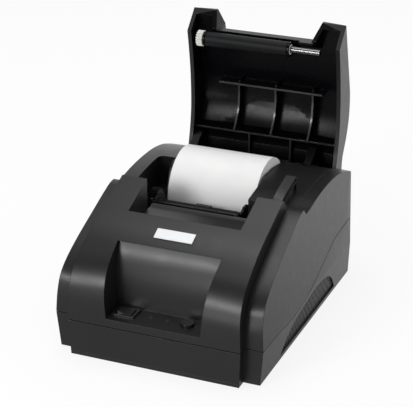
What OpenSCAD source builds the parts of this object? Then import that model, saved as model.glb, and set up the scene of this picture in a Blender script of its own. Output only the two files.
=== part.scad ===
// Thermal receipt printer for narrow paper, with its cover swung open.
// X runs to the right, Y to the back and Z up. The origin lies on the table
// under the middle of the case, so every piece rests above Z = 0.

/* [Case] */
// Half of the case width at the part line
case_half_w = 64; // [60:0.5:72]
// Half of the width at the bottom edge
base_half_w = 62; // [58:0.5:70]
// Half of the width along the crest of the sides
crest_half_w = 60.6; // [57:0.2:68]
// Half of the width of the raised centre section
centre_half_w = 53; // [51.5:0.5:56]
// Front face of the centre section, measured forward of the origin
centre_front = 93.5; // [88:0.5:110]
// How far the side wings stand back from the centre section
wing_setback = 7; // [4:0.5:12]
// Rear face of the case, measured back from the origin
case_rear = 86; // [84:0.5:100]
// Height of the part line at the front
part_z = 23; // [18:0.5:26]
// Wall thickness of the two case halves
case_wall = 2.2; // [1.6:0.1:3]
// Corner radius of the back of the case, seen from above
rear_corner_r = 24; // [12:1:30]
// Clear height of the case above the table
base_gap = 0.8; // [0.4:0.1:2]
// Open line between the two case halves
part_gap = 0.5; // [0.2:0.1:0.8]

/* [Front recess] */
// Half of the recess width at its floor
recess_half_w = 29; // [26:0.5:34]
// Height of the recess floor
recess_floor_z = 28; // [26.5:0.5:34]
// Depth of the recess floor from front to back
recess_depth = 18.5; // [15:0.5:24]

/* [Paper] */
// Width of the paper
paper_w = 57; // [50:0.5:58]
// Outer radius of the paper roll
roll_r = 25.5; // [15:0.5:26]
// Outer radius of the paper roll's core
core_r = 8.5; // [6:0.5:11]
// Middle of the paper, left of the middle of the case
paper_offset = 9; // [8:0.5:10]
// Room at each end of the roll
roll_side_gap = 1.2; // [0.5:0.1:1.5]

/* [Cover] */
// Half of the cover's width
lid_half_w = 50.4; // [49:0.2:51]
// Wall thickness of the cover
lid_wall = 2.6; // [1.6:0.1:2.8]
// Angle through which the cover is swung open
lid_open = 87.5; // [0:0.5:87.5]
// Extra height of the cover along its middle
lid_crown = 4; // [2:0.5:7]
// Radius of the hinge pins
pin_r = 2.2; // [1.6:0.1:2.6]
// Running clearance round the hinge pins, shafts and gear pins
run_gap = 0.05; // [0.02:0.01:0.1]

/* [Print mechanism] */
// Radius of the rubber roller
platen_r = 4.5; // [4:0.1:4.6]
// Radius of the roller's steel shaft
shaft_r = 2; // [1.5:0.1:2.4]
// Gear module
gear_m = 0.5; // [0.4:0.05:0.5]
// Teeth of the roller gear
platen_teeth = 18; // [16:1:18]
// Teeth of the intermediate gear
idler_teeth = 32; // [28:1:32]
// Teeth of the motor pinion
pinion_teeth = 12; // [12:1:14]
// Face width of the gears
gear_w = 4; // [3:0.5:5]
// Radius of the motor
motor_r = 6.5; // [5:0.5:6.5]

/* [Controls] */
// Width of the power rocker
rocker_w = 10; // [9:0.2:12]
// Length of the power rocker
rocker_l = 6.8; // [6:0.2:9]
// Radius of the feed button
button_r = 3.8; // [3:0.1:4.5]
// Travel of the feed button
button_travel = 0.8; // [0.4:0.1:1.2]
// Clearance round the rocker and the button
control_gap = 0.25; // [0.15:0.05:0.4]

/* [Hidden] */
$fn = 48;

shell_grey = "#2c2c2e";
inner_black = "#18181a";
eps = 0.01;
far = 300;

// Anchors of the case outline
front_y = -centre_front;
wing_y = front_y + wing_setback;
rear_y = case_rear;
deck_z = 77.4;
wing_end_y = -14;
centre_end_y = -22;
centre_end_z = 85.5;
trough_y = -48;
trough_half_w = 35;
trough_z = 66;
slope_foot_y = -11.2;
slope_foot_z = 74.2;

// Hinge of the cover
hinge_y = 70;
hinge_z = 66;
arm_w = 5;
arm_x = [-lid_half_w + 2.9, 30.5];
arm_gap = 0.45;
cheek_w = 4;

// Paper roll and the bin that holds it
paper_x0 = -paper_offset - paper_w / 2;
paper_x1 = paper_x0 + paper_w;
roll_y = 39;
bin_floor_z = 31.6;
bin_wall = 1.4;
roll_seat_gap = 0.4;
roll_z = bin_floor_z + roll_seat_gap + roll_r;
bin_r = 26.6;
bin_rear_y = roll_y + bin_r;
bin_x0 = paper_x0 - roll_side_gap;
bin_x1 = paper_x1 + roll_side_gap;

// Roller, where it lies when the cover is closed
platen_y = -7.5;
platen_z = 71.5;
rubber_x0 = paper_x0 + 2.2;
rubber_x1 = paper_x1 - 1.3;
bracket_t = 1.4;
bush_r = shaft_r + 1.2;
eye_r = bush_r + 1.4;
bracket_x0 = rubber_x0 - 0.4 - bracket_t;
bracket_x1 = rubber_x1 + 0.4;
gear_x0 = bracket_x0 - 0.4 - gear_w;
gear_gap = 0.06;
idler_centre = gear_m * (platen_teeth + idler_teeth) / 2 + gear_gap;
platen_to_idler = 53.13;
idler_y = platen_y + idler_centre * cos(platen_to_idler);
idler_z = platen_z - idler_centre * sin(platen_to_idler);
pinion_centre = gear_m * (pinion_teeth + idler_teeth) / 2 + gear_gap;
idler_to_pinion = 207.6;
pinion_y = idler_y + pinion_centre * cos(idler_to_pinion);
pinion_z = idler_z + pinion_centre * sin(idler_to_pinion);
gear_bore = 1.5;

// ---------- helpers ----------

// Draws a (y, z) outline as a bar from x0 to x1
module along_x(x0, x1) translate([x0, 0, 0]) rotate([90, 0, 90]) linear_extrude(x1 - x0) children();

// Draws an (x, z) outline as a bar from y0 to y1
module along_y(y0, y1) translate([0, y1, 0]) rotate([90, 0, 0]) linear_extrude(y1 - y0) children();

// A plain block between two corners
module block(a, b) translate(a) cube([b[0] - a[0], b[1] - a[1], b[2] - a[2]]);

// A rod along X
module rod_x(x0, x1, y, z, r) translate([x0, y, z]) rotate([0, 90, 0]) cylinder(h = x1 - x0, r = r);

module both_sides() {
    children();
    mirror([1, 0, 0]) children();
}

// Smooth curve through a list of points
function mix4(a, b, c, d, t) = 0.5 * (2 * b + (c - a) * t + (2 * a - 5 * b + 4 * c - d) * t * t
    + (3 * b - a - 3 * c + d) * t * t * t);
function smooth(p, n = 4) = let (last = len(p) - 1)
    [for (i = [0 : last - 1], k = [0 : n - 1])
        mix4(p[max(i - 1, 0)], p[i], p[i + 1], p[min(i + 2, last)], k / n), p[last]];

// ---------- outlines of the case ----------

wing_curve = smooth([[wing_y, part_z], [wing_y + 1.1, part_z + 13.5], [wing_y + 6, part_z + 24.5],
    [wing_y + 20.5, part_z + 34.4], [wing_y + 44.5, part_z + 45.4], [wing_y + 64.5, part_z + 53.9],
    [wing_end_y, deck_z + 0.7]]);
deck_curve = smooth([[wing_end_y + 3.6, deck_z - 3.2], [-3, deck_z - 2.8], [8, deck_z - 1.2], [20, deck_z - 0.2],
    [32, deck_z], [44, deck_z - 0.6], [56, deck_z - 2.7], [66, deck_z - 5.7],
    [rear_y, deck_z - 13.4]]);
centre_curve = smooth([[front_y + 0.3, part_z], [front_y + 1.3, part_z + 19], [front_y + 8, part_z + 31.5],
    [front_y + 19.5, part_z + 40], [front_y + 34, part_z + 48], [front_y + 51, part_z + 54.5],
    [centre_end_y, centre_end_z]]);

module side_outline(inset = 0) offset(delta = -inset)
    polygon(concat([[wing_y + 1, base_gap]], wing_curve, deck_curve, [[rear_y - 2, base_gap]]));

module centre_outline(inset = 0) offset(delta = -inset)
    polygon(concat([[front_y + 1, base_gap]], centre_curve, [[slope_foot_y, slope_foot_z], [0, base_gap]]));

module side_section(inset = 0) offset(delta = -inset)
    polygon([[-base_half_w, base_gap], [base_half_w, base_gap], [case_half_w, part_z],
        [crest_half_w, deck_z], [crest_half_w, deck_z + 10], [-crest_half_w, deck_z + 10],
        [-crest_half_w, deck_z], [-case_half_w, part_z]]);

module centre_section(inset = 0) offset(delta = -inset)
    polygon([[-centre_half_w + 1, base_gap], [centre_half_w - 1, base_gap], [centre_half_w, part_z],
        [centre_half_w - 2.2, centre_end_z], [centre_half_w - 2.2, centre_end_z + 10],
        [-centre_half_w + 2.2, centre_end_z + 10], [-centre_half_w + 2.2, centre_end_z],
        [-centre_half_w, part_z]]);

module side_plan(inset = 0) offset(delta = -inset) hull() {
    translate([-far / 2, wing_y - 20]) square([far, 10]);
    both_sides() translate([case_half_w - rear_corner_r, rear_y - rear_corner_r])
        circle(r = rear_corner_r, $fn = 64);
}

// The whole outer form of the case, or the same form drawn in by a wall
module case_form(inset = 0) {
    intersection() {
        along_x(-far / 2, far / 2) side_outline(inset);
        along_y(front_y - 20, rear_y + 20) side_section(inset);
        linear_extrude(far) side_plan(inset);
    }
    intersection() {
        along_x(-centre_half_w - 1, centre_half_w + 1) centre_outline(inset);
        along_y(front_y - 20, rear_y + 20) centre_section(inset);
    }
}

// Everything above the part line, which climbs towards the back
part_curve = smooth([[wing_y - 20, part_z], [-68, part_z - 0.5], [-44, part_z - 2.2], [-20, part_z - 1.3],
    [-1.5, part_z + 3], [17, part_z + 8.5], [35, part_z + 14], [52, part_z + 16],
    [rear_y + 20, part_z + 17.5]], 5);

module above_part_line(shift = 0) along_x(-far / 2, far / 2) translate([0, shift])
    polygon(concat(part_curve, [[rear_y + 20, far], [wing_y - 20, far]]));

// ---------- pockets in the upper case ----------

recess_back_y = front_y + recess_depth;

module recess_outline(grow = 0) offset(delta = grow)
    polygon(concat([[front_y - 20, recess_floor_z]],
        smooth([[recess_back_y, recess_floor_z], [recess_back_y + 1, recess_floor_z + 17],
            [recess_back_y + 4.2, recess_floor_z + 30], [recess_back_y + 8.8, recess_floor_z + 38.4]]),
        [[recess_back_y + 12, recess_floor_z + 44], [front_y - 20, recess_floor_z + 44]]));

module recess_space(grow = 0) intersection() {
    along_x(-far / 2, far / 2) recess_outline(grow);
    along_y(front_y - 30, 0) offset(delta = grow)
        polygon([[-recess_half_w, recess_floor_z - grow], [recess_half_w, recess_floor_z - grow],
            [recess_half_w + 3, recess_floor_z + 38], [-recess_half_w - 3, recess_floor_z + 38]]);
}

bay_front_y = centre_end_y + 0.4;
bay_mid_y = -4.2;
bin_front_y = roll_y - bin_r - bin_wall - 0.3;
bay_half_w = 40.4;
well_x0 = -lid_half_w - 0.6;
well_w = bin_x0 - bin_wall - 0.5 - well_x0;
well_rear_y = 33;
well_floor_z = 58;
skirt_z = 52;

// Plan of every opening in the top: paper exit, mechanism bay, gear well and paper bin
module top_openings() {
    translate([-trough_half_w, trough_y]) square([2 * trough_half_w, bay_front_y - trough_y + 1]);
    translate([-bay_half_w, bay_front_y]) square([2 * bay_half_w, bay_mid_y - bay_front_y]);
    translate([-bay_half_w, bay_mid_y - 1])
        square([bay_half_w + bin_x1 + bin_wall + 0.3, bin_front_y - bay_mid_y + 2]);
    translate([bin_x0 - bin_wall - 0.3, bin_front_y])
        square([bin_x1 - bin_x0 + 2 * bin_wall + 0.6, bin_rear_y + bin_wall + 0.3 - bin_front_y]);
    hull() {
        translate([well_x0, bay_front_y]) square([well_w + 1, 5]);
        translate([well_x0 + 4, well_rear_y - 4]) circle(r = 4, $fn = 32);
        translate([well_x0 + well_w - 3, well_rear_y - 4]) square([4, 4]);
    }
}

module top_space(grow = 0) linear_extrude(far) offset(delta = grow) top_openings();

// The slope behind the centre section that the cover's tips lie against
module tip_relief() along_x(-lid_half_w - 0.6, lid_half_w + 0.6)
    polygon([[centre_end_y, centre_end_z], [slope_foot_y, slope_foot_z], [wing_end_y + 9, slope_foot_z + 0.4],
        [wing_end_y + 9, far], [centre_end_y, far]]);

trough_r = 18.6;
sweep_front_y = hinge_y - 1.4;
hinge_well_half_w = lid_half_w + 0.8;

// Space behind the hinge that the cover's rear swings through
module rear_sweep(grow = 0) along_x(-hinge_well_half_w - grow, hinge_well_half_w + grow)
    intersection() {
        union() {
            translate([hinge_y, hinge_z]) circle(r = trough_r + grow, $fn = 96);
            translate([hinge_y - 30, hinge_z]) square([60, far]);
        }
        translate([sweep_front_y - grow, 0]) square([60, far]);
    }

module arm_slots() for (x = arm_x)
    block([x - arm_gap, hinge_y - 9.5, hinge_z - 5.5], [x + arm_w + arm_gap, hinge_y, far]);

// ---------- case ----------

rail_x = 39.5;
rail_w = 6;
rail_end_y = 15;

// Rib that guides the cover down on its right-hand side
module rail_outline(drop = 0)
    polygon([[-12, deck_z - 5.2], [-12, deck_z - 1 - drop], [-8, deck_z + 2.6 - drop], [0, deck_z + 5.4 - drop],
        [rail_end_y - 1.2, deck_z + 8.6 - drop], [rail_end_y, deck_z + 7.4 - drop], [rail_end_y + 0.4, deck_z - 2.4]]);
module guide_rail() {
    along_x(rail_x, rail_x + rail_w - 1) rail_outline();
    // two ribs along its right-hand face
    along_x(rail_x + rail_w - 1.1, rail_x + rail_w) for (d = [0, 3.2]) difference() {
        rail_outline(d);
        translate([0, -1.2]) rail_outline(d);
        translate([-20, deck_z - 10]) square([40, 8.4]);
    }
}

// Cheeks on both sides of each cover arm, bored for the hinge pin
cheek_r = pin_r + 2.1;
module hinge_cheeks()
    difference() {
        for (x = arm_x, side = [-cheek_w - arm_gap, arm_w + arm_gap])
            if (x + side > well_x0 + 2.4) along_x(x + side, x + side + cheek_w) union() {
                translate([hinge_y, hinge_z]) circle(r = cheek_r);
                polygon([[hinge_y - 2.5, hinge_z - 6], [hinge_y + 3.2, hinge_z - 2.8], [hinge_y, hinge_z + cheek_r],
                    [hinge_y - 2.5, hinge_z + cheek_r]]);
            }
        rod_x(-lid_half_w, lid_half_w, hinge_y, hinge_z, pin_r + 0.01);
        // room for the back of the paper bin
        block([bin_x0 - bin_wall - 0.3, 0, 0], [bin_x1 + bin_wall + 0.3, bin_rear_y + bin_wall + 0.3, far]);
    }

rocker_x = -21.5;
control_y = front_y + 11.6;
button_x = 16.6;
light_x = [-6, 4.3];
light_r = 1.1;
vent_pitch = 2.8;
vent_rib_w = 1.5;
vent_depth = 1.1;

// The whole upper moulding; its nodes are cut from this one form
module upper_form() {
    difference() {
        union() {
            intersection() {
                union() {
                    difference() {
                        case_form();
                        case_form(case_wall);
                    }
                    intersection() {
                        case_form();
                        union() {
                            recess_space(case_wall);
                            difference() {
                                top_space(case_wall - 0.4);
                                block([-far, -far, 0], [far, far, skirt_z]);
                            }
                            rear_sweep(case_wall);
                            // floors of the gear well and of the bay's right end
                            block([well_x0 - 2, bay_front_y - 2, well_floor_z - 1.6],
                                [well_x0 + well_w - 2, well_rear_y + 2, well_floor_z]);
                            block([bin_x1 + 1, bay_front_y - 2, well_floor_z - 1.6],
                                [bay_half_w + 2, bay_mid_y + 2, well_floor_z]);
                        }
                    }
                }
                above_part_line(part_gap / 2);
            }
            along_x(-hinge_well_half_w, hinge_well_half_w) intersection() {
                side_outline(1);
                polygon([[sweep_front_y - 8, 58], [sweep_front_y - 4, 54], [sweep_front_y, 54],
                    [sweep_front_y, 90], [sweep_front_y - 4, 90]]);
            }
        }
        recess_space();
        difference() {
            top_space();
            block([well_x0 - 2, -far, well_floor_z - 1.6], [well_x0 + well_w - 2, far, well_floor_z]);
            block([bin_x1 + bin_wall + 0.4, -far, well_floor_z - 1.6], [bay_half_w + 2, bay_mid_y + 2, well_floor_z]);
            block([-far, -far, 0], [far, far, skirt_z - 1]);
        }
        rear_sweep();
        arm_slots();
        tip_relief();
        // openings for the rocker, the button and the lights
        block([rocker_x - rocker_w / 2 - switch_wall - 0.05, control_y - rocker_l / 2 - switch_wall - 0.05, 0],
            [rocker_x + rocker_w / 2 + switch_wall + 0.05, control_y + rocker_l / 2 + switch_wall + 0.05,
            recess_floor_z + 1]);
        translate([button_x, control_y, 0]) cylinder(h = recess_floor_z + 1, r = button_r + control_gap);
        for (x = light_x) translate([x, control_y, 0]) cylinder(h = recess_floor_z + 1, r = light_r + 0.05);
        for (x = arm_x) rod_x(x - cheek_w - 0.8, x + arm_w + cheek_w + 0.8, hinge_y, hinge_z, pin_r + 0.01);
    }
}

// Middle of the upper case: all that lies between the two side panels
panel_x = centre_half_w - 0.2;
panel_seam = 0.02;
module core_zone(grow = 0) {
    intersection() {
        along_x(-centre_half_w - 1, centre_half_w + 1) centre_outline(-1);
        along_y(front_y - 20, rear_y + 20) centre_section(-grow);
    }
    block([-panel_x - grow, centre_end_y + 8, 0], [panel_x + grow, far, far]);
}

module upper_case() color(shell_grey) intersection() {
    upper_form();
    core_zone();
    block([-far, -far, 0], [far, bay_front_y, far]);
}

module top_deck() color(shell_grey) {
    intersection() {
        upper_form();
        core_zone();
        block([-far, bay_front_y, 0], [far, far, far]);
    }
    guide_rail();
    hinge_cheeks();
}

module side_panel() {
    intersection() {
        difference() {
            upper_form();
            core_zone(panel_seam);
        }
        block([0, -far, 0], [far, far, far]);
    }
    intersection() {
        for (p = screw_spots) if (p[0] > 0) screw_boss(p);
        block([panel_x + panel_seam, -far, 0], [far, far, far]);
    }
}

module side_panel_right() color(shell_grey) side_panel();
module side_panel_left() color(shell_grey) mirror([1, 0, 0]) side_panel();

// Boss that takes a case screw
module screw_boss(p) difference() {
    translate([p[0], p[1], boss_z]) cylinder(h = p[2] - boss_z, r = 3.6);
    translate([p[0], p[1], boss_z - 1]) cylinder(h = 8, r = screw_r + 0.01);
}

boss_z = 11.2;
vent_curve = smooth([[-54, base_gap + 2.6], [-46, 10.5], [-33, 16], [-15, 19.4], [4, 21.5], [23.5, 19],
    [35, 12.7], [43, base_gap + 2.6]], 3);

// Opening for air on each side of the lower case, and the grille of upright bars set back in it
side_max_w = max(base_half_w, case_half_w);
side_min_w = min(base_half_w, case_half_w);
module vent_opening() along_x(side_min_w - case_wall - 0.3, side_max_w + 1) polygon(vent_curve);
module vent_bars() intersection() {
    along_x(side_min_w - 6, side_max_w + 1) intersection() {
        offset(delta = 0.3) polygon(vent_curve);
        for (y = [-53 : vent_pitch : 43]) translate([y - vent_rib_w / 2, 0]) square([vent_rib_w, part_z]);
    }
    along_y(-60, 50) difference() {
        side_section(vent_depth);
        side_section(case_wall - 0.05);
    }
}

jack_z = 14;
power_x = 34;
usb_x = 8;
drawer_x = -20;

module lip_band(outer, from, to) intersection() {
    difference() {
        case_form(outer);
        case_form(case_wall + 1.5);
    }
    difference() {
        above_part_line(from);
        above_part_line(to);
    }
}

// The whole lower moulding, from which the tray and the base are cut
module lower_form() difference() {
    union() {
        difference() {
            case_form();
            case_form(case_wall);
            above_part_line(-part_gap / 2);
        }
        // lip that locates the upper case, and its root on the wall
        lip_band(case_wall + 0.15, -1.3, 1.6);
        lip_band(case_wall - 0.1, -3, -1.2);
    }
    both_sides() vent_opening();
    // rear openings for the sockets
    block([power_x - 5.3, rear_y - 14, jack_z - 4.7], [power_x + 5.3, rear_y + 2, jack_z + 5.5]);
    block([usb_x - 6.3, rear_y - 14, jack_z - 4.7], [usb_x + 6.3, rear_y + 2, jack_z + 5.5]);
    block([drawer_x - 7.7, rear_y - 14, jack_z - 4.7], [drawer_x + 7.7, rear_y + 2, jack_z + 7.7]);
    // seats of the feet and screws
    for (p = foot_spots) translate([p[0], p[1], -1]) cylinder(h = 1.8 + base_gap, r = foot_r);
    for (p = screw_spots) translate([p[0], p[1], -1]) cylinder(h = far, r = screw_r + 0.01);
    for (p = screw_spots) translate([p[0], p[1], -1]) cylinder(h = 4.2, r = 3.1);
}

base_top_z = base_gap + case_wall;
module lower_case() color(shell_grey) {
    intersection() {
        lower_form();
        block([-far, -far, base_top_z], [far, far, far]);
    }
    both_sides() vent_bars();
}

module base_plate() color(shell_grey) {
    intersection() {
        lower_form();
        block([-far, -far, -1], [far, far, base_top_z]);
    }
    // columns round the case screws
    difference() {
        for (p = screw_spots) translate([p[0], p[1], base_top_z - 0.1]) cylinder(h = boss_z - base_top_z, r = 4.1);
        for (p = screw_spots) translate([p[0], p[1], 0]) cylinder(h = far, r = screw_r + 0.01);
        for (p = screw_spots) translate([p[0], p[1], 0]) cylinder(h = 3.2, r = 3.1);
    }
    // stand-offs under the main board, and the pad that rests in the middle
    for (p = board_spots) translate([p[0], p[1], base_top_z - 0.1]) cylinder(h = board_z - base_top_z + 0.1, r = 3);
    cylinder(h = base_gap + 0.1, r = pad_r);
}

pad_r = 8;
foot_r = 6;
foot_spots = [[-48, -70], [48, -70], [-40, 62], [40, 62]];
module rubber_feet() color("#101010")
    for (p = foot_spots) translate([p[0], p[1], 0]) cylinder(h = base_gap + 0.8, r1 = foot_r - 0.5, r2 = foot_r - 0.1);

screw_r = 1.4;
screw_spots = [[-55.4, -50, 62.6], [55.4, -50, 62.6], [-55, 40, 75.3], [55, 40, 75.3]];
module case_screws() color("silver")
    for (p = screw_spots) translate([p[0], p[1], 3.2]) difference() {
        union() {
            translate([0, 0, -1.9]) cylinder(h = 1.9, r = 2.7);
            cylinder(h = 12, r = screw_r);
        }
        translate([0, 0, -3]) cylinder(h = 2, r = 1.3, $fn = 6);
    }

// ---------- cover, drawn closed and then swung open ----------

module cover_pose() translate([0, hinge_y, hinge_z]) rotate([-lid_open, 0, 0])
    translate([0, -hinge_y, -hinge_z]) children();

tip_y = centre_end_y + 0.5;
tip_z = centre_end_z + 1.3;
rim_tip_y = tip_y + 11.5;
rim_tip_z = deck_z - 2.7;
rear_r = trough_r - 0.7;
function arc(r, a0, a1, n) = [for (i = [0 : n]) let (a = a0 + (a1 - a0) * i / n)
    [hinge_y + r * cos(a), hinge_z + r * sin(a)]];

// Top of the cover along its side edges, and its limit along the middle
side_top = smooth([[tip_y - 1, tip_z - 0.2], [tip_y, tip_z], [tip_y + 17, tip_z + 3.9], [tip_y + 41.2, tip_z + 9.4],
    [tip_y + 50.8, tip_z + 10.9], [tip_y + 63.8, tip_z + 9.9], [tip_y + 75.6, tip_z + 5.5],
    [tip_y + 85.4, tip_z - 0.7], [hinge_y, hinge_z + rear_r], [hinge_y + 10, hinge_z + rear_r - 1.4],
    [hinge_y + 20, hinge_z + rear_r - 5]]);
mid_top = smooth([[tip_y, tip_z + 5.5], [tip_y + 50.8, tip_z + 15.4], [tip_y + 63.8, tip_z + 13.6],
    [tip_y + 77, tip_z + 7.4], [hinge_y - 4.5, hinge_z + rear_r + 1.1]]);
crown_r = (lid_half_w * lid_half_w + lid_crown * lid_crown) / (2 * lid_crown);
crown_axis_z = tip_z + 9 + lid_crown - crown_r;
function crown_reach(z) = sqrt(lid_half_w * lid_half_w + (z - crown_axis_z) * (z - crown_axis_z));

// The crowned top of the cover, swept about a far axis along Y
module crowned_top(inset = 0) translate([0, 0, crown_axis_z]) rotate([-90, 0, 0])
    rotate_extrude($fn = 360) offset(delta = -inset)
        polygon(concat([[crown_r / 2, tip_y - 1]], [for (p = side_top) [crown_reach(p[1]), p[0]]],
            [[crown_r / 2, hinge_y + 20]]));

rim_curve = smooth([[rim_tip_y, rim_tip_z], [-2, deck_z - 1.4], [9, deck_z], [20, deck_z + 0.9],
    [32, deck_z + 1.1], [44, deck_z + 0.5], [56, deck_z - 1.7], [63, deck_z - 3.7], [hinge_y - 0.8, deck_z - 5.6]]);
module lid_outline(inset = 0) offset(delta = -inset)
    polygon(concat(mid_top, arc(rear_r, 90, 0, 16), [[hinge_y - 0.8, hinge_z]],
        [for (i = [len(rim_curve) - 1 : -1 : 0]) rim_curve[i]], [[tip_y, tip_z]]));
// The same outline carried on through the open front and underside
module hollow_outline(inset = 0) offset(delta = -inset)
    polygon(concat([[tip_y - 12, mid_top[0][1] - 2.7]], mid_top, arc(rear_r, 90, 0, 16),
        [[hinge_y + rear_r, hinge_z - 9], [tip_y - 12, hinge_z - 9]]));

module lid_block() intersection() {
    crowned_top();
    along_x(-lid_half_w, lid_half_w) lid_outline();
}
module lid_hollow(inset) intersection() {
    crowned_top(inset);
    block([-far, tip_y + 3, 0], [far, far, far]);
    along_x(-lid_half_w + inset, lid_half_w - inset) hollow_outline(inset);
}

// Gap between the cover's two tips, through which the paper leaves
bar_y = -11.7;
bar_z = 82.4;
module exit_notch(grow = 0) intersection() {
    linear_extrude(far) offset(delta = grow)
        polygon([[-trough_half_w, tip_y - 5], [trough_half_w, tip_y - 5], [trough_half_w, tip_y], [31.3, bar_y],
            [31.3, bar_y + 12], [-31.3, bar_y + 12], [-31.3, bar_y], [-trough_half_w, tip_y]]);
    along_x(-trough_half_w - 5, trough_half_w + 5) offset(delta = grow)
        polygon([[tip_y - 5, 0], [bar_y, 0], [bar_y, bar_z], [bar_y + 9, bar_z + 14], [tip_y - 5, bar_z + 14]]);
}

rib_t = 1.3;
long_ribs = [-22, 3, 28];
rear_ribs = [-11, 17];
wall_rib_y = 56;

// Stiffening ribs under the cover's top
module lid_ribs() intersection() {
    lid_hollow(lid_wall - 0.4);
    union() {
        for (x = long_ribs) along_x(x - rib_t / 2, x + rib_t / 2)
            polygon(smooth([[25, 110], [26, 92], [34, 90.6], [44, 89], [51, 85], [wall_rib_y, 81]]));
        for (x = long_ribs) along_x(x - rib_t / 2, x + rib_t / 2)
            polygon([[25, 110], [wall_rib_y, 81], [wall_rib_y, 110]]);
        for (x = rear_ribs) along_x(x - rib_t / 2, x + rib_t / 2)
            polygon([[wall_rib_y, 110], [wall_rib_y, 80], [hinge_y - 4, hinge_z + 13.4], [hinge_y + 9, hinge_z + 11],
                [hinge_y + 9, 110]]);
        block([-35, 27, 88.8], [35, 27 + rib_t, 110]);
        block([-lid_half_w, wall_rib_y, 80], [lid_half_w, wall_rib_y + rib_t, 110]);
    }
}

// Arms that turn on the hinge pins
module hinge_arms() difference() {
    for (x = arm_x) along_x(x, x + arm_w) union() {
        translate([hinge_y, hinge_z]) circle(r = pin_r + 2);
        polygon([[hinge_y - 4.2, hinge_z], [59, 78], [59.5, 87.5], [70.5, 82.5], [hinge_y + 4.2, hinge_z]]);
    }
    for (x = arm_x) rod_x(x - 1, x + arm_w + 1, hinge_y, hinge_z, pin_r + run_gap);
}

module lid_shell() color(shell_grey) cover_pose() {
    difference() {
        union() {
            difference() {
                lid_block();
                lid_hollow(lid_wall);
            }
            intersection() {
                lid_block();
                exit_notch(lid_wall);
                block([-far, -far, platen_z + platen_r + 1.4], [far, far, far]);
            }
            lid_ribs();
        }
        exit_notch();
        // room for the roller, its gear and the end of its shaft
        block([-trough_half_w, tip_y - 5, 0], [trough_half_w, platen_y + platen_r + 1.6, platen_z + platen_r + 1.4]);
        rod_x(gear_x0 - 0.6, -trough_half_w + 1, platen_y, platen_z, eye_r + 1.2);
        rod_x(trough_half_w - 1, shaft_x1 + 0.6, platen_y, platen_z, shaft_r + 0.8);
    }
    // skirt under the bar, right of the roller
    block([bracket_x1 + 5.4, bar_y, platen_z + 3.2], [trough_half_w - 2, bar_y + 1.8, platen_z + platen_r + 2]);
    hinge_arms();
}

module hinge_pins() color("silver")
    for (x = arm_x) rod_x(x + (x < 0 ? 0.1 : -cheek_w - arm_gap), x + arm_w + cheek_w + arm_gap, hinge_y, hinge_z, pin_r);

// ---------- name plate, trough floor and tear bar ----------

plate_w = 23.6;
plate_l = 7;
plate_y = -60.3;
module name_plate() color("white") {
    a = lookup(plate_y - plate_l / 2, centre_curve);
    b = lookup(plate_y + plate_l / 2, centre_curve);
    tilt = atan2(b - a, plate_l);
    translate([-plate_w / 2, plate_y - plate_l / 2, a + 0.3]) rotate([tilt, 0, 0]) cube([plate_w, plate_l, 0.6]);
}

cover_rear_y = -15.2;
module head_cover() color(shell_grey)
    along_x(-trough_half_w + 0.2, trough_half_w - 0.2)
        polygon([[trough_y + 0.2, trough_z + 2.5], [trough_y + 3, trough_z + 2.5], [trough_y + 5.6, trough_z],
            [cover_rear_y - 3, trough_z], [cover_rear_y, trough_z + 1.4], [cover_rear_y, trough_z - 0.4],
            [cover_rear_y - 3, trough_z - 1.6], [trough_y + 8, trough_z - 1.6], [trough_y + 2.2, trough_z - 7],
            [trough_y + 0.2, trough_z - 7]]);

tear_pitch = 1.2;
tear_tip = 0.6;
module tear_bar() color("#3a3a3c") {
    n = floor((frame_inner_x1 - frame_inner_x0 - 0.4) / tear_pitch);
    x0 = frame_inner_x0 + 0.2;
    top = trough_z + 1.9;
    along_y(cover_rear_y + 0.05, cover_rear_y + 0.65)
        polygon(concat([[x0 + n * tear_pitch, trough_z - 4.6], [x0, trough_z - 4.6]],
            [for (i = [0 : n - 1], s = [0, 0.5]) [x0 + (i + s) * tear_pitch, top + (s > 0 ? tear_tip : 0)]],
            [[x0 + n * tear_pitch, top]]));
}

// ---------- print mechanism in the case ----------

frame_t = bracket_t;
frame_x0 = bracket_x0;
frame_x1 = bracket_x1 + frame_t;
frame_inner_x0 = frame_x0 + frame_t;
frame_inner_x1 = frame_x1 - frame_t;
frame_front_y = -14.4;
frame_rear_y = 5.4;
frame_z = 47;
frame_top_z = platen_z - 2.9;
seat_gap = 0.45;

module frame_side(x) along_x(x, x + frame_t) difference() {
    polygon([[frame_front_y, frame_z], [frame_front_y, frame_top_z - 2], [frame_front_y + 1.5, frame_top_z],
        [1.4, frame_top_z], [frame_rear_y, frame_top_z - 4], [frame_rear_y, frame_z]]);
    // open seat that the eye of the roller's bracket drops into
    translate([platen_y, platen_z]) circle(r = eye_r + seat_gap);
}

// The print head leans back under the roller; this places pieces about the roller's axis
head_tilt = 30;
head_drop = platen_r + 0.35;
head_t = 0.9;
sink_t = 1.4;
spring_l = 6;
module head_pose() translate([0, platen_y, platen_z]) rotate([-head_tilt, 0, 0]) children();

motor_l = 18;
module mechanism_frame() color("#2a2b2d") {
    difference() {
        union() {
            frame_side(frame_x0);
            frame_side(frame_inner_x1);
            block([frame_x0, frame_front_y, frame_z], [frame_x1, frame_rear_y, frame_z + 1.2]);
            block([frame_x0, frame_rear_y - 1.2, frame_z], [frame_x1, frame_rear_y, 61]);
            // seat of the head's springs
            head_pose() block([frame_inner_x0 + motor_l + 1.5, -0.5, -head_drop - head_t - sink_t - spring_l - 1.2],
                [frame_x1, 5.5, -head_drop - head_t - sink_t - spring_l]);
        }
        rod_x(frame_x0 - 1, frame_x0 + 3, idler_y, idler_z, gear_bore);
        rod_x(frame_x0 - 1, frame_x0 + 3, pinion_y, pinion_z, 2.4);
    }
}

module print_head() color("#6b5a4a") head_pose()
    block([frame_inner_x0 + 0.3, -2.2, -head_drop - head_t], [frame_inner_x1 - 0.3, 7.5, -head_drop]);

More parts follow.
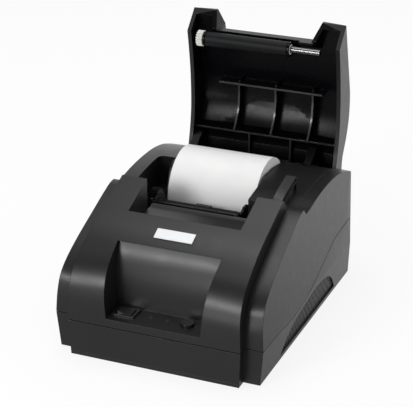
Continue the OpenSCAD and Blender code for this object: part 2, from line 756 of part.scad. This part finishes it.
module head_heatsink() color("#b8babd") head_pose()
    block([frame_inner_x0 + 0.3, -2.2, -head_drop - head_t - sink_t], [frame_inner_x1 - 0.3, 8.5, -head_drop - head_t]);

spring_wire = 0.4;
module coil(x, y) {
    turns = 5;
    z0 = -head_drop - head_t - sink_t - spring_l;
    step = (spring_l - 2 * spring_wire) / turns;
    for (i = [0 : turns]) translate([x, y, z0 + spring_wire + i * step])
        rotate_extrude() translate([1.9, 0]) circle(r = spring_wire, $fn = 12);
    for (a = [-1, 1]) block([x - 0.3, y + a * 1.9 - 0.25, z0], [x + 0.3, y + a * 1.9 + 0.25, z0 + spring_l]);
}
module head_springs() color("silver") head_pose()
    for (x = [-7, 12]) coil(x, 2.5);

motor_x0 = frame_inner_x0;
module stepper_motor() color("#77797c") {
    difference() {
        union() {
            rod_x(motor_x0, motor_x0 + motor_l, pinion_y, pinion_z, motor_r);
            rod_x(frame_x0 + 0.1, motor_x0 + 1, pinion_y, pinion_z, 2.35);
        }
        rod_x(frame_x0 - 1, motor_x0 + motor_l - 2, pinion_y, pinion_z, 0.8 + run_gap);
    }
}

// ---------- gears ----------

function inv_deg(a) = tan(a) * 180 / PI - a;
function gear_flank(m, z, r) = let (rb = m * z / 2 * cos(20), back = 2.2)
    (90 - back) / z + inv_deg(20) - (r > rb ? inv_deg(acos(rb / r)) : 0);
function gear_tooth(m, z, rr, tip, root, mid) = concat(
    [root * [cos(mid - 180 / z), sin(mid - 180 / z)]],
    [root * [cos(mid - gear_flank(m, z, rr)), sin(mid - gear_flank(m, z, rr))]],
    [for (k = [0 : 3]) let (r = rr + (tip - rr) * k / 3, a = mid - gear_flank(m, z, r)) r * [cos(a), sin(a)]],
    [for (k = [3 : -1 : 0]) let (r = rr + (tip - rr) * k / 3, a = mid + gear_flank(m, z, r)) r * [cos(a), sin(a)]],
    [root * [cos(mid + gear_flank(m, z, rr)), sin(mid + gear_flank(m, z, rr))]]);
module gear_outline(m, z) {
    rp = m * z / 2;
    root = rp - 1.25 * m;
    tip = rp + 0.95 * m;
    rr = max(rp * cos(20), root + 0.02);
    polygon([for (i = [0 : z - 1]) each gear_tooth(m, z, rr, tip, root, 360 * i / z)]);
}

// A gear along X whose tooth number zero points at the given angle in the (y, z) plane
module gear_x(x0, w, y, z, teeth, bore, angle) difference() {
    translate([0, y, z]) along_x(x0, x0 + w) rotate(angle) gear_outline(gear_m, teeth);
    rod_x(x0 - 1, x0 + w + 1, y, z, bore);
}

// A gap of the idler faces a tooth of the roller gear on their line of centres
idler_angle = 180 - platen_to_idler + 180 / idler_teeth;
module idler_gear() color("#1d1d1f") {
    gear_x(gear_x0, gear_w, idler_y, idler_z, idler_teeth, gear_bore + run_gap, idler_angle);
    difference() {
        rod_x(gear_x0 - 0.8, gear_x0 + gear_w + 0.3, idler_y, idler_z, 3);
        rod_x(gear_x0 - 2, gear_x0 + gear_w + 2, idler_y, idler_z, gear_bore + run_gap);
    }
}

// The pinion's gap or tooth is set to whatever part of the idler's pitch faces it
idler_phase = (idler_to_pinion - idler_angle) * idler_teeth / 360;
pinion_angle = idler_to_pinion + 180 + (idler_phase + 0.5) * 360 / pinion_teeth;
module motor_pinion() color("#d8d4c4") {
    gear_x(gear_x0, gear_w, pinion_y, pinion_z, pinion_teeth, 0.5, pinion_angle);
    rod_x(gear_x0 + 0.2, motor_x0 + motor_l - 2.5, pinion_y, pinion_z, 0.8);
}

module gear_pin() color("silver") {
    rod_x(gear_x0 - 2.2, frame_x0 + frame_t, idler_y, idler_z, gear_bore);
    rod_x(gear_x0 - 2.2, gear_x0 - 1.2, idler_y, idler_z, 2.4);
}

// ---------- roller assembly on the cover ----------

bar_back_y = bar_y + lid_wall + 0.02;
module bracket_plate(x) difference() {
    along_x(x, x + bracket_t) union() {
        translate([platen_y, platen_z]) circle(r = eye_r);
        polygon([[platen_y - eye_r, platen_z], [bar_back_y, platen_z + platen_r + 1.2], [bar_back_y, bar_z - 0.9],
            [bar_back_y + 4.4, bar_z + 5.4], [bar_back_y + 6.2, bar_z + 5.6], [platen_y + eye_r, platen_z]]);
    }
    rod_x(x - 1, x + bracket_t + 1, platen_y, platen_z, bush_r + 0.01);
}

shaft_x1 = 39;
module platen_bracket() color(inner_black) cover_pose() {
    bracket_plate(bracket_x0);
    bracket_plate(bracket_x1);
    block([bracket_x0, bar_back_y, bar_z - 3.6], [bracket_x1 + bracket_t, bar_back_y + bracket_t, bar_z - 0.9]);
}

module platen_bushings() color("#e8e4d8") cover_pose()
    for (x = [bracket_x0, bracket_x1]) difference() {
        rod_x(x, x + bracket_t, platen_y, platen_z, bush_r);
        rod_x(x - 1, x + bracket_t + 1, platen_y, platen_z, shaft_r + run_gap);
    }

module platen_shaft() color("silver") cover_pose()
    rod_x(gear_x0, shaft_x1, platen_y, platen_z, shaft_r);

module platen_rubber() color("#141416") cover_pose() difference() {
    rod_x(rubber_x0, rubber_x1, platen_y, platen_z, platen_r);
    rod_x(rubber_x0 - 1, rubber_x1 + 1, platen_y, platen_z, shaft_r);
}

module platen_gear() color("white") cover_pose()
    gear_x(gear_x0 + 0.05, gear_w - 0.05, platen_y, platen_z, platen_teeth, shaft_r, -platen_to_idler);

// ---------- paper ----------

module paper_roll() color("white") difference() {
    rod_x(paper_x0, paper_x1, roll_y, roll_z, roll_r);
    rod_x(paper_x0 - 1, paper_x1 + 1, roll_y, roll_z, core_r);
}

module paper_core() color("#b9b4aa") difference() {
    rod_x(paper_x0, paper_x1, roll_y, roll_z, core_r);
    rod_x(paper_x0 - 1, paper_x1 + 1, roll_y, roll_z, core_r - 2.2);
}

// Bin with a round floor, into which the roll is dropped
bin_front_z = 54;
bin_rim = smooth([[5, bin_front_z], [13, bin_front_z + 1.5], [18, bin_front_z + 8], [22, deck_z - 6],
    [26, deck_z - 0.6], [34, deck_z - 0.2], [44, deck_z - 0.6], [56, deck_z - 2.7], [bin_rear_y + 5, deck_z - 6]]);
bin_mid_z = bin_floor_z + bin_r;

module bin_outline(grow = 0) intersection() {
    union() {
        translate([roll_y, bin_mid_z]) circle(r = bin_r + grow, $fn = 96);
        translate([roll_y - bin_r - grow, bin_mid_z]) square([2 * (bin_r + grow), far]);
    }
    translate([-far, 0]) square([far + bin_rear_y + grow, far]);
}

module paper_bin() color(inner_black) intersection() {
    difference() {
        along_x(bin_x0 - bin_wall, bin_x1 + bin_wall) bin_outline(bin_wall);
        along_x(bin_x0, bin_x1) bin_outline();
        rod_x(bin_x0 - bin_wall - 1, frame_x0 + 0.2, idler_y, idler_z, gear_m * idler_teeth / 2 + 0.9);
    }
    along_x(-far / 2, far / 2) polygon(concat([[-far, 0], [-far, bin_front_z]], bin_rim, [[far, deck_z - 6], [far, 0]]));
}

module paper_sensor() color("#202226")
    block([-14, frame_rear_y - 4.4, 57], [-4, frame_rear_y - 1.2, 62.5]);

// ---------- boards and sockets ----------

board_z = 8;
board_t = 1.6;
board_spots = [[-38, -30], [38, -30], [-38, 60], [38, 60]];
module main_board() color("#1f5a34") {
    block([-44, -36, board_z], [44, rear_y - 10, board_z + board_t]);
    for (p = board_spots) translate([p[0], p[1], board_z + board_t]) cylinder(h = 1.2, r = 2.4);
    block([-30, -10, board_z + board_t], [-16, 4, board_z + board_t + 1.4]);
    block([10, -22, board_z + board_t], [20, -12, board_z + board_t + 1.2]);
    for (x = [-8, 30]) translate([x, 34, board_z + board_t]) cylinder(h = 9, r = 4);
}

socket_front_y = rear_y - 16;
socket_rear_y = rear_y - 1.4;
socket_z0 = board_z + board_t;

module power_jack() color("#121212") difference() {
    block([power_x - 5, socket_front_y, socket_z0], [power_x + 5, socket_rear_y, socket_z0 + 9.6]);
    translate([power_x, socket_rear_y - 9, socket_z0 + 4.8]) rotate([-90, 0, 0]) cylinder(h = 12, r = 3.1);
}

module usb_port() color("silver") difference() {
    block([usb_x - 6, socket_front_y, socket_z0], [usb_x + 6, socket_rear_y, socket_z0 + 9.6]);
    block([usb_x - 4.3, socket_rear_y - 9, socket_z0 + 1], [usb_x + 4.3, socket_rear_y + 1, socket_z0 + 8.6]);
    block([usb_x - 3, socket_rear_y - 9, socket_z0 + 1], [usb_x + 3, socket_rear_y - 8, socket_z0 + 8]);
}

module drawer_jack() color("#1a1a1a") difference() {
    block([drawer_x - 7.4, socket_front_y, socket_z0], [drawer_x + 7.4, socket_rear_y, socket_z0 + 11.8]);
    block([drawer_x - 4.9, socket_rear_y - 11, socket_z0 + 2.4], [drawer_x + 4.9, socket_rear_y + 1, socket_z0 + 9]);
    block([drawer_x - 1.8, socket_rear_y - 11, socket_z0 + 1.2], [drawer_x + 1.8, socket_rear_y + 1, socket_z0 + 3]);
}

// ---------- controls ----------

switch_depth = 11;
switch_wall = 1.3;
switch_rim = 2;
rocker_axis_z = recess_floor_z - 1.5;
module switch_housing() color("#0e0e0f") difference() {
    union() {
        block([rocker_x - rocker_w / 2 - switch_wall, control_y - rocker_l / 2 - switch_wall,
            recess_floor_z - switch_depth],
            [rocker_x + rocker_w / 2 + switch_wall, control_y + rocker_l / 2 + switch_wall, recess_floor_z]);
        block([rocker_x - rocker_w / 2 - switch_rim, control_y - rocker_l / 2 - switch_rim, recess_floor_z],
            [rocker_x + rocker_w / 2 + switch_rim, control_y + rocker_l / 2 + switch_rim, recess_floor_z + 0.9]);
    }
    block([rocker_x - rocker_w / 2 - control_gap, control_y - rocker_l / 2 - control_gap, recess_floor_z - 6.5],
        [rocker_x + rocker_w / 2 + control_gap, control_y + rocker_l / 2 + control_gap, recess_floor_z + 2]);
    translate([rocker_x, control_y - rocker_l / 2 - 1.05, rocker_axis_z]) rotate([-90, 0, 0])
        cylinder(h = rocker_l + 2.1, r = 1 + run_gap);
}

rocker_tilt = 8;
module power_rocker() color("#1c1c1e") translate([rocker_x, control_y, rocker_axis_z]) rotate([0, rocker_tilt, 0]) {
    along_y(-rocker_l / 2, rocker_l / 2)
        polygon([[-rocker_w / 2 + 0.9, 0.4], [-rocker_w / 2 + 0.7, 3.3], [0, 2.4], [rocker_w / 2 - 0.7, 3.3],
            [rocker_w / 2 - 0.9, 0.4], [3, -3], [-3, -3]]);
    translate([0, -rocker_l / 2 - 1, 0]) rotate([-90, 0, 0]) cylinder(h = rocker_l + 2, r = 1);
}

button_top = 1.6;
module feed_button() color("#1c1c1e") {
    translate([button_x, control_y, recess_floor_z - 4]) cylinder(h = 4 + button_top, r = button_r);
    translate([button_x, control_y, recess_floor_z - case_wall - 1.3]) cylinder(h = 1, r = button_r + 1.1);
}

module status_lights() color("#9fb6a6")
    for (x = light_x) translate([x, control_y, control_board_z + board_t]) {
        cylinder(h = recess_floor_z - control_board_z - board_t + 0.2, r = light_r);
        cylinder(h = 2, r = light_r + 0.6);
    }

control_board_z = recess_floor_z - 9;
module control_board() color("#1f5a34") {
    block([-9, control_y - 6, control_board_z], [24, control_y + 5, control_board_z + board_t]);
    translate([button_x, control_y, control_board_z + board_t - 0.1]) cylinder(h = 2.4, r = 1.6);
}

lower_case();
base_plate();
upper_case();
top_deck();
side_panel_left();
side_panel_right();
paper_bin();
lid_shell();
hinge_pins();
name_plate();
head_cover();
tear_bar();
mechanism_frame();
print_head();
head_heatsink();
head_springs();
platen_bracket();
platen_bushings();
platen_shaft();
platen_rubber();
platen_gear();
idler_gear();
motor_pinion();
stepper_motor();
gear_pin();
paper_sensor();
main_board();
power_jack();
usb_port();
drawer_jack();
switch_housing();
power_rocker();
feed_button();
status_lights();
control_board();
rubber_feet();
case_screws();
paper_roll();
paper_core();
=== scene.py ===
import bpy
import bmesh
import math
from mathutils import Vector, Matrix

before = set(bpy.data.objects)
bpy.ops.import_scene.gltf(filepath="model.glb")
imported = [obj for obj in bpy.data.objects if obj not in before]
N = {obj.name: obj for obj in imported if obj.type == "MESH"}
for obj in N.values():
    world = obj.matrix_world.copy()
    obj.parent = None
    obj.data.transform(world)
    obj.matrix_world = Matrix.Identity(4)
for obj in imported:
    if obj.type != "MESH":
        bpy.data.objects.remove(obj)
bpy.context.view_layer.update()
C = bpy.context

EDGE_RADIUS = 0.0004      # softened edges of the mouldings, shading only
SHARP = math.radians(28)  # faces that meet at more than this keep a crisp edge
WELD = 0.000002
HINGE = Vector((0, 0.070, 0.066))
SHUT = math.radians(87.5)
ROLL_AXIS = (0.039, 0.0575)


# ---------------------------------------------------------------- materials

def node(nt, kind, x=0, y=0, **inputs):
    n = nt.nodes.new(kind)
    n.location = (x, y)
    for k, v in inputs.items():
        n.inputs[k.replace("_", " ")].default_value = v
    return n


def new_mat(name):
    m = bpy.data.materials.new(name)
    m.use_nodes = True
    nt = m.node_tree
    bsdf = nt.nodes["Principled BSDF"]
    tc = node(nt, "ShaderNodeTexCoord", -1400, 0)
    return m, nt, bsdf, tc


def ramp(nt, fac, stops, x=-500, y=0):
    r = nt.nodes.new("ShaderNodeValToRGB")
    r.location = (x, y)
    el = r.color_ramp.elements
    while len(el) < len(stops):
        el.new(0.5)
    for e, (p, c) in zip(el, stops):
        e.position = p
        e.color = (c[0], c[1], c[2], 1)
    nt.links.new(fac, r.inputs["Fac"])
    return r.outputs["Color"]


def noise(nt, vec, scale, detail=3.0, rough=0.55, x=-1000, y=0):
    n = nt.nodes.new("ShaderNodeTexNoise")
    n.location = (x, y)
    n.inputs["Scale"].default_value = scale
    n.inputs["Detail"].default_value = detail
    n.inputs["Roughness"].default_value = rough
    nt.links.new(vec, n.inputs["Vector"])
    return n.outputs["Fac"]


def span(nt, fac, lo, hi, x=-400, y=-200):
    m = nt.nodes.new("ShaderNodeMapRange")
    m.location = (x, y)
    m.inputs["To Min"].default_value = lo
    m.inputs["To Max"].default_value = hi
    nt.links.new(fac, m.inputs["Value"])
    return m.outputs["Result"]


def math_node(nt, operation, value, second=None):
    m = nt.nodes.new("ShaderNodeMath")
    m.operation = operation
    nt.links.new(value, m.inputs[0])
    if second is not None:
        m.inputs[1].default_value = second
    return m.outputs[0]


def bump(nt, height, bsdf, strength, dist, x=-200, y=-400):
    """Fine relief, over edges that are rounded in the shading."""
    b = nt.nodes.new("ShaderNodeBump")
    b.location = (x, y)
    b.inputs["Strength"].default_value = strength
    b.inputs["Distance"].default_value = dist
    nt.links.new(height, b.inputs["Height"])
    e = nt.nodes.new("ShaderNodeBevel")
    e.location = (x - 200, y - 200)
    e.samples = 4
    e.inputs["Radius"].default_value = EDGE_RADIUS
    nt.links.new(e.outputs["Normal"], b.inputs["Normal"])
    nt.links.new(b.outputs["Normal"], bsdf.inputs["Normal"])


def plastic(name, col, rough, grain=1500.0, strength=0.12, spec=0.5, vary=0.12, coat=0.0):
    """Moulded plastic: fine spark-eroded grain, slight colour drift and uneven gloss."""
    m, nt, b, tc = new_mat(name)
    big = noise(nt, tc.outputs["Object"], 22.0, 2.0, 0.5, -1000, 200)
    lo = [c * (1 - vary) for c in col]
    hi = [c * (1 + vary) for c in col]
    nt.links.new(ramp(nt, big, [(0.3, lo), (0.7, hi)], -500, 200), b.inputs["Base Color"])
    mid = noise(nt, tc.outputs["Object"], 160.0, 3.0, 0.6, -1000, -50)
    nt.links.new(span(nt, mid, rough - 0.05, rough + 0.06), b.inputs["Roughness"])
    fine = noise(nt, tc.outputs["Object"], grain, 2.0, 0.6, -1000, -400)
    bump(nt, fine, b, strength, 0.00012)
    b.inputs["Specular IOR Level"].default_value = spec
    if coat:
        b.inputs["Coat Weight"].default_value = coat
        b.inputs["Coat Roughness"].default_value = 0.12
    return m


def steel(name, col, rough, axis=0, lines=900.0, strength=0.08):
    """Metal with fine turning or rolling lines."""
    m, nt, b, tc = new_mat(name)
    mp = nt.nodes.new("ShaderNodeMapping")
    mp.location = (-1200, -200)
    mp.inputs["Scale"].default_value = [0.05 if i == axis else 1.0 for i in range(3)]
    nt.links.new(tc.outputs["Object"], mp.inputs["Vector"])
    f = noise(nt, mp.outputs["Vector"], lines, 3.0, 0.6, -1000, -200)
    big = noise(nt, tc.outputs["Object"], 60.0, 2.0, 0.5, -1000, 200)
    stops = [(0.3, [c * 0.9 for c in col]), (0.7, [min(1, c * 1.06) for c in col])]
    nt.links.new(ramp(nt, big, stops, -500, 200), b.inputs["Base Color"])
    nt.links.new(span(nt, f, rough - 0.06, rough + 0.08), b.inputs["Roughness"])
    bump(nt, f, b, strength, 0.00005)
    b.inputs["Metallic"].default_value = 1.0
    return m


def rubber(name, col, rough=0.62, spec=0.35):
    m, nt, b, tc = new_mat(name)
    f = noise(nt, tc.outputs["Object"], 1100.0, 3.0, 0.7, -1000, -300)
    g = noise(nt, tc.outputs["Object"], 90.0, 3.0, 0.6, -1000, 200)
    stops = [(0.25, [c * 0.8 for c in col]), (0.75, [c * 1.3 for c in col])]
    nt.links.new(ramp(nt, g, stops, -500, 200), b.inputs["Base Color"])
    nt.links.new(span(nt, g, rough - 0.06, rough + 0.08), b.inputs["Roughness"])
    bump(nt, f, b, 0.25, 0.0001)
    b.inputs["Specular IOR Level"].default_value = spec
    return m


def paper(name):
    """Wound thermal paper: smooth round the outside, edges of the turns on the ends."""
    m, nt, b, tc = new_mat(name)
    sep = nt.nodes.new("ShaderNodeSeparateXYZ")
    sep.location = (-1200, 0)
    nt.links.new(tc.outputs["Object"], sep.inputs[0])
    cv = nt.nodes.new("ShaderNodeCombineXYZ")
    for source, target, centre in zip("YZ", "XY", ROLL_AXIS):
        d = math_node(nt, "SUBTRACT", sep.outputs[source], centre)
        nt.links.new(d, cv.inputs[target])
    ln = nt.nodes.new("ShaderNodeVectorMath")
    ln.operation = "LENGTH"
    nt.links.new(cv.outputs[0], ln.inputs[0])
    w = math_node(nt, "MULTIPLY", ln.outputs["Value"], 9000.0)
    sn = math_node(nt, "SINE", w)
    g = noise(nt, tc.outputs["Object"], 45.0, 3.0, 0.6, -1000, 300)
    stops = [(0.3, (0.83, 0.83, 0.83)), (0.7, (0.88, 0.88, 0.875))]
    nt.links.new(ramp(nt, g, stops, -500, 300), b.inputs["Base Color"])
    bump(nt, sn, b, 0.12, 0.00004)
    b.inputs["Roughness"].default_value = 0.55
    b.inputs["Specular IOR Level"].default_value = 0.3
    return m


def board(name):
    m, nt, b, tc = new_mat(name)
    v = nt.nodes.new("ShaderNodeTexVoronoi")
    v.location = (-1000, 100)
    v.inputs["Scale"].default_value = 350.0
    nt.links.new(tc.outputs["Object"], v.inputs["Vector"])
    stops = [(0.0, (0.02, 0.12, 0.05)), (0.6, (0.03, 0.17, 0.07))]
    nt.links.new(ramp(nt, v.outputs["Distance"], stops, -500, 200), b.inputs["Base Color"])
    b.inputs["Roughness"].default_value = 0.35
    return m


SHELL = plastic("shell_abs", (0.0085, 0.0085, 0.0098), 0.36, grain=1300, strength=0.2, spec=0.5)
LID = plastic("lid_abs", (0.0085, 0.0085, 0.0098), 0.36, grain=1300, strength=0.2, spec=0.5)
# black plastic for the small parts; on the cover's inside the same darker colour is painted
# shade
BLACK_AND_PAINTED_SHADE = plastic("black_abs_and_painted_shade", (0.0022, 0.0022, 0.003), 0.26, grain=900, strength=0.08, spec=0.13)
# lighter colour on the free edges of the cover's ribs: painted highlight, with real higher
# gloss
RIB_PAINTED_HIGHLIGHT = plastic("rib_edge_painted_highlight", (0.012, 0.012, 0.014), 0.3, grain=900, strength=0.08, spec=0.9)
BIN = plastic("bin_abs", (0.005, 0.005, 0.006), 0.42, grain=900, strength=0.12, spec=0.35)
SWITCH = plastic("switch_gloss", (0.012, 0.012, 0.013), 0.24, grain=600,
                 strength=0.04, coat=0.2)
GEAR = plastic("acetal_white", (0.72, 0.71, 0.67), 0.35, grain=500, strength=0.05, vary=0.04)
PLATE = plastic("plate_white", (0.72, 0.74, 0.75), 0.3, grain=400, strength=0.02,
                vary=0.02, coat=0.1)
SOCKET = plastic("socket_black", (0.012, 0.012, 0.012), 0.38)
LENS = plastic("lens_dark", (0.012, 0.014, 0.015), 0.15, grain=300, strength=0.02,
               vary=0.05, coat=0.5)
STEEL = steel("steel_bright", (0.62, 0.62, 0.63), 0.24)
DARK_STEEL = steel("steel_dark_chrome", (0.16, 0.16, 0.165), 0.2)
ZINC = steel("steel_zinc", (0.46, 0.47, 0.48), 0.36, axis=1, lines=500)
BLACKED = steel("steel_blacked", (0.02, 0.02, 0.023), 0.4, axis=1, lines=500)
ALLOY = steel("alloy_satin", (0.06, 0.06, 0.065), 0.45)
BRASS = steel("brass_turned", (0.62, 0.47, 0.22), 0.3)
HEAD = plastic("head_glaze", (0.012, 0.011, 0.010), 0.45, grain=300, strength=0.03, spec=0.12)
ROLLER = rubber("roller_rubber", (0.0045, 0.005, 0.006), 0.5, 0.22)
FEET = rubber("foot_rubber", (0.02, 0.02, 0.02))
PAPER = paper("thermal_paper")
CORE = plastic("core_card", (0.42, 0.41, 0.39), 0.6, grain=500, strength=0.2, spec=0.2)
BOARD = board("solder_mask")

worn_by = (
    (SHELL, ("lower_case base_plate upper_case top_deck side_panel_left "
             "side_panel_right head_cover")),
    (LID, ("lid_shell")),
    (BIN, ("paper_bin")),
    (BLACK_AND_PAINTED_SHADE, ("platen_bracket paper_sensor idler_gear")),
    (STEEL, ("hinge_pins head_springs gear_pin usb_port case_screws")),
    (BLACKED, ("tear_bar mechanism_frame")),
    (DARK_STEEL, ("platen_shaft")),
    (ZINC, ("stepper_motor")),
    (ALLOY, ("head_heatsink")),
    (HEAD, ("print_head")),
    (PLATE, ("name_plate")),
    (GEAR, ("platen_bushings platen_gear")),
    (BRASS, ("motor_pinion")),
    (BOARD, ("main_board control_board")),
    (SOCKET, ("power_jack drawer_jack")),
    (SWITCH, ("switch_housing power_rocker feed_button")),
    (LENS, ("status_lights")),
    (FEET, ("rubber_feet")),
    (ROLLER, ("platen_rubber")),
    (PAPER, ("paper_roll")),
    (CORE, ("paper_core")),
)
mats = {name: mat for mat, names in worn_by for name in names.split()}

def dress(name, mat):
    """Material, and shading that keeps flats flat and edges crisp on the CAD mesh."""
    o = N[name]
    o.data.materials.clear()
    o.data.materials.append(mat)
    for p in o.data.polygons:
        p.use_smooth = True
    w = o.modifiers.new("weld", "WELD")
    w.merge_threshold = WELD
    e = o.modifiers.new("edges", "EDGE_SPLIT")
    e.split_angle = SHARP
    e.use_edge_sharp = False
    n = o.modifiers.new("normals", "WEIGHTED_NORMAL")
    n.mode = "FACE_AREA"
    n.weight = 100
    n.keep_sharp = False


for name, o in N.items():
    dress(name, mats.get(name, SHELL))

# The cover's inner faces are smoother than its outside and take a darker colour, painted shade
# for its hollow inside, and the free edges of its ribs catch the light through a lighter
# colour, a painted highlight. They are picked as they lie with the cover shut.
lid = N["lid_shell"]
lid.data.materials.append(BLACK_AND_PAINTED_SHADE)
lid.data.materials.append(RIB_PAINTED_HIGHLIGHT)
shut = Matrix.Rotation(SHUT, 4, "X")
bm = bmesh.new()
bm.from_mesh(lid.data)
tag = bm.faces.layers.int.new("source_face")
for f in bm.faces:
    f[tag] = f.index
bmesh.ops.remove_doubles(bm, verts=bm.verts, dist=WELD)
# the free edges of the ribs, which get the painted highlight
rib_highlight_faces = {f[tag] for f in bm.faces if any(
    e.is_convex and len(e.link_faces) == 2 and e.calc_face_angle() > 1.1
    and e.calc_length() > 1.2 * f.calc_area() / 0.0013 for e in f.edges)}
bm.free()
for p in lid.data.polygons:
    c = shut @ (lid.matrix_world @ p.center - HINGE) + HINGE
    n = shut.to_3x3() @ (lid.matrix_world.to_3x3() @ p.normal)
    radial = (c.yz - HINGE.yz).normalized()
    inward = Vector((n.y, n.z)).dot(radial) < -0.3
    under = abs(c.x) < 0.0482 and -0.0195 < c.y < 0.09
    cross = abs(n.y) > 0.7 and 0.02 < c.y < 0.075
    # these inner faces take the darker colour: painted shade of the cover's hollow inside
    if under and (n.z < -0.2 or abs(n.x) > 0.7 or inward or cross):
        p.material_index = 1
        # the ribs' free edges take the lighter colour: painted highlight
        if n.z < -0.5 and 0.012 < c.y and abs(c.x) < 0.046 and p.index in rib_highlight_faces:
            p.material_index = 2


# ---------------------------------------------------------------- stage

def area(name, loc, target, size, power, size_y=None):
    d = bpy.data.lights.new(name, "AREA")
    d.energy = power
    d.shape = "RECTANGLE"
    d.size = size
    d.size_y = size_y or size
    o = bpy.data.objects.new(name, d)
    C.scene.collection.objects.link(o)
    o.location = loc
    o.rotation_euler = (Vector(target) - Vector(loc)).to_track_quat("-Z", "Y").to_euler()
    return o


me = bpy.data.meshes.new("floor")
s = 6.0  # half the floor's width
me.from_pydata([(-s, -s, 0), (s, -s, 0), (s, s, 0), (-s, s, 0)], [], [(0, 1, 2, 3)])
floor = bpy.data.objects.new("floor", me)
C.scene.collection.objects.link(floor)
fm = bpy.data.materials.new("floor_white")
fm.use_nodes = True
nt = fm.node_tree
fb = nt.nodes["Principled BSDF"]
fb.inputs["Base Color"].default_value = (0.93, 0.93, 0.93, 1)
fb.inputs["Roughness"].default_value = 0.9
flp = nt.nodes.new("ShaderNodeLightPath")
fe = nt.nodes.new("ShaderNodeEmission")
fe.inputs["Color"].default_value = (1, 1, 1, 1)
fmx = nt.nodes.new("ShaderNodeMixShader")
ftc = nt.nodes.new("ShaderNodeTexCoord")
fsp = nt.nodes.new("ShaderNodeSeparateXYZ")
fmr = nt.nodes.new("ShaderNodeMapRange")
fmr.interpolation_type = "SMOOTHSTEP"
fmr.inputs["From Min"].default_value = -0.15
fmr.inputs["From Max"].default_value = 0.25
fmr.inputs["To Min"].default_value = 0.45
fmr.inputs["To Max"].default_value = 1.05
nt.links.new(ftc.outputs["Object"], fsp.inputs[0])
nt.links.new(fsp.outputs["Y"], fmr.inputs["Value"])
nt.links.new(fmr.outputs["Result"], fe.inputs["Strength"])
nt.links.new(flp.outputs["Is Glossy Ray"], fmx.inputs["Fac"])
# for the camera the floor is part lit and part white, which keeps a pale shadow
fw = nt.nodes.new("ShaderNodeEmission")
fhalf = nt.nodes.new("ShaderNodeMath")
fhalf.operation = "MULTIPLY"
fhalf.inputs[1].default_value = 0.85
fcm = nt.nodes.new("ShaderNodeMixShader")
nt.links.new(flp.outputs["Is Camera Ray"], fhalf.inputs[0])
nt.links.new(fhalf.outputs[0], fcm.inputs["Fac"])
nt.links.new(fb.outputs[0], fcm.inputs[1])
nt.links.new(fw.outputs[0], fcm.inputs[2])
nt.links.new(fcm.outputs[0], fmx.inputs[1])
nt.links.new(fe.outputs[0], fmx.inputs[2])
nt.links.new(fmx.outputs[0], nt.nodes["Material Output"].inputs["Surface"])
me.materials.append(fm)

world = C.scene.world or bpy.data.worlds.new("world")
C.scene.world = world
world.use_nodes = True
wn = world.node_tree
bg = wn.nodes["Background"]
bg.inputs["Color"].default_value = (1, 1, 1, 1)
lp = wn.nodes.new("ShaderNodeLightPath")
mg = wn.nodes.new("ShaderNodeMapRange")
mg.inputs["To Min"].default_value = 0.66
wtc = wn.nodes.new("ShaderNodeTexCoord")
wsp = wn.nodes.new("ShaderNodeSeparateXYZ")
wgr = wn.nodes.new("ShaderNodeMapRange")
wgr.interpolation_type = "SMOOTHSTEP"
wgr.inputs["From Min"].default_value = 0.35
wgr.inputs["From Max"].default_value = 0.8
wgr.inputs["To Min"].default_value = 0.24
wgr.inputs["To Max"].default_value = 0.95
wn.links.new(wtc.outputs["Generated"], wsp.inputs[0])
wn.links.new(wsp.outputs["Y"], wgr.inputs["Value"])
wn.links.new(wgr.outputs["Result"], mg.inputs["To Max"])
wn.links.new(lp.outputs["Is Glossy Ray"], mg.inputs["Value"])
mx = wn.nodes.new("ShaderNodeMapRange")
mx.inputs["To Max"].default_value = 1.0
wn.links.new(mg.outputs["Result"], mx.inputs["To Min"])
wn.links.new(lp.outputs["Is Camera Ray"], mx.inputs["Value"])
wn.links.new(mx.outputs["Result"], bg.inputs["Strength"])

area("top", (-0.12, 0.15, 0.9), (0, 0, 0.05), 0.45, 1.75, size_y=0.35)
area("front", (-0.34, -0.90, 0.46), (0, -0.08, 0.05), 0.30, 3.8, size_y=0.22)
area("side", (0.9, 0.5, 0.5), (0, 0, 0.06), 0.5, 1.0)
area("card", (-0.085, -0.47, 0.035), (0.045, -0.09, 0.04), 0.09, 0.16, size_y=0.06)

# camera from the fitted view
az, el = math.radians(22.629), math.radians(23.761)
dist, cx, cy = 0.96072, -0.005489, 0.005883
focal_px, frame_px = 1600.0, 413.0
back = Vector((math.sin(az) * math.cos(el), -math.cos(az) * math.cos(el), math.sin(el)))
right = Vector((math.cos(az), math.sin(az), 0))
up = back.cross(right)
target = Vector((0, 0, 0.060)) + right * cx + up * cy
cam = bpy.data.objects.new("camera", bpy.data.cameras.new("camera"))
C.scene.collection.objects.link(cam)
cam.data.sensor_fit = "HORIZONTAL"
cam.data.sensor_width = 36.0
cam.data.lens = cam.data.sensor_width * focal_px / frame_px
cam.data.clip_start = 0.05
rot = Matrix((right, up, back)).transposed()
cam.matrix_world = Matrix.Translation(target + back * dist) @ rot.to_4x4()
C.scene.camera = cam

C.scene.view_settings.view_transform = "Standard"
